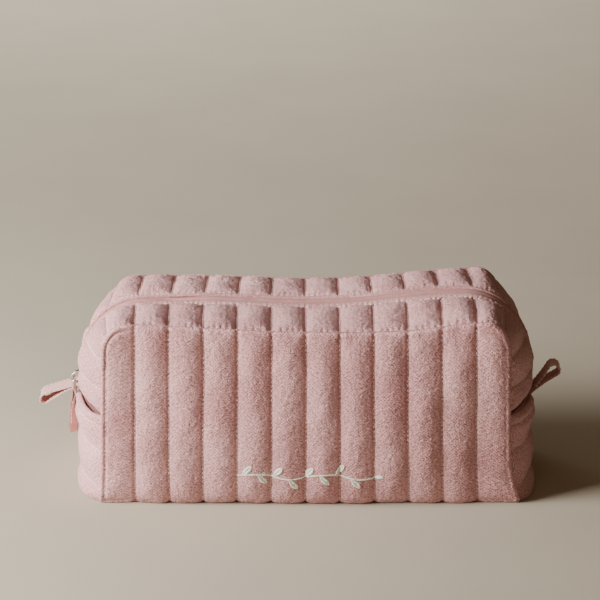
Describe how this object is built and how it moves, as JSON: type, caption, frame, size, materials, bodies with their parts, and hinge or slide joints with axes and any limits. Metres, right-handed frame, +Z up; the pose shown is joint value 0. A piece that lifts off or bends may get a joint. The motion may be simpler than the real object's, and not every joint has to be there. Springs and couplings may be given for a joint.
{
  "type": "makeup bag",
  "caption": "Boxed channel-quilted cotton makeup pouch with a zip over the top and down both ends, a tape loop on each end and a cloth zip pull.",
  "frame": {"origin": "centre of the bag's flat underside, where it rests", "axes": "+X along the bag's length, away from the end that holds the closed zip slider; +Y from the front panel to the back panel; +Z up"},
  "size_m": [0.311, 0.1005, 0.1119],
  "materials": {
    "quilted_cotton": "washed cotton",
    "wadding": "soft",
    "lining_cotton": "plain weave",
    "zip_tape": "woven tape",
    "zip_coil": "satin",
    "binding_cotton": "plain weave",
    "tape_cotton": "plain weave",
    "slider_metal": "satin",
    "ring_metal": "polished",
    "sprig_thread": "embroidery thread"
  },
  "bodies": {
    "bag": {"front_panel": "quilted_cotton", "front_wadding": "wadding", "front_lining": "lining_cotton", "back_panel": "quilted_cotton", "back_wadding": "wadding", "back_lining": "lining_cotton", "bottom_gusset": "quilted_cotton", "bottom_wadding": "wadding", "bottom_lining": "lining_cotton", "left_end_front": "quilted_cotton", "left_end_front_wadding": "wadding", "left_end_front_lining": "lining_cotton", "left_end_back": "quilted_cotton", "left_end_back_wadding": "wadding", "left_end_back_lining": "lining_cotton", "right_end_front": "quilted_cotton", "right_end_front_wadding": "wadding", "right_end_front_lining": "lining_cotton", "right_end_back": "quilted_cotton", "right_end_back_wadding": "wadding", "right_end_back_lining": "lining_cotton", "left_front_tape": "zip_tape", "left_back_tape": "zip_tape", "left_front_coil": "zip_coil", "left_back_coil": "zip_coil", "right_front_tape": "zip_tape", "right_back_tape": "zip_tape", "right_front_coil": "zip_coil", "right_back_coil": "zip_coil", "front_binding": "binding_cotton", "back_binding": "binding_cotton", "left_seam_binding": "binding_cotton", "right_seam_binding": "binding_cotton", "motif": "sprig_thread"},
    "front_lid": {"front_flap": "quilted_cotton", "front_flap_wadding": "wadding", "front_flap_lining": "lining_cotton", "front_tape": "zip_tape", "front_coil": "zip_coil"},
    "back_lid": {"back_flap": "quilted_cotton", "back_flap_wadding": "wadding", "back_flap_lining": "lining_cotton", "back_tape": "zip_tape", "back_coil": "zip_coil"},
    "slider": {"zip_slider": "slider_metal"},
    "ring": {"pull_ring": "ring_metal"},
    "strap": {"pull_strap": "tape_cotton"},
    "left_tab": {"left_loop": "tape_cotton"},
    "right_tab": {"right_loop": "tape_cotton"}
  },
  "joints": [
    {"name": "front_lid_open", "type": "hinge", "parent": "bag", "child": "front_lid", "pos_m": [0, -0.0456, 0.108], "axis": [1, 0, 0], "range_deg": [0, 75]},
    {"name": "back_lid_open", "type": "hinge", "parent": "bag", "child": "back_lid", "pos_m": [0, 0.0456, 0.108], "axis": [-1, 0, 0], "range_deg": [0, 75]},
    {"name": "slider_travel", "type": "hinge", "parent": "bag", "child": "slider", "pos_m": [-0.0949, 0, 0.0704], "axis": [0, 1, 0], "range_deg": [0, 100]},
    {"name": "pull_swing", "type": "hinge", "parent": "slider", "child": "ring", "pos_m": [-0.13941, 0, 0.06094], "axis": [0, 1, 0], "range_deg": [0, 120]},
    {"name": "strap_swing", "type": "hinge", "parent": "ring", "child": "strap", "pos_m": [-0.13941, 0, 0.05394], "axis": [0, 1, 0], "range_deg": [0, 60]},
    {"name": "left_loop_flex", "type": "hinge", "parent": "bag", "child": "left_tab", "pos_m": [-0.1365, 0.0105, 0.0542], "axis": [0, 1, 0], "range_deg": [-30, 35], "stiffness_Nm_per_rad": 0.0015},
    {"name": "right_loop_flex", "type": "hinge", "parent": "bag", "child": "right_tab", "pos_m": [0.1365, 0, 0.0542], "axis": [0, 1, 0], "range_deg": [-20, 50], "stiffness_Nm_per_rad": 0.0015}
  ]
}
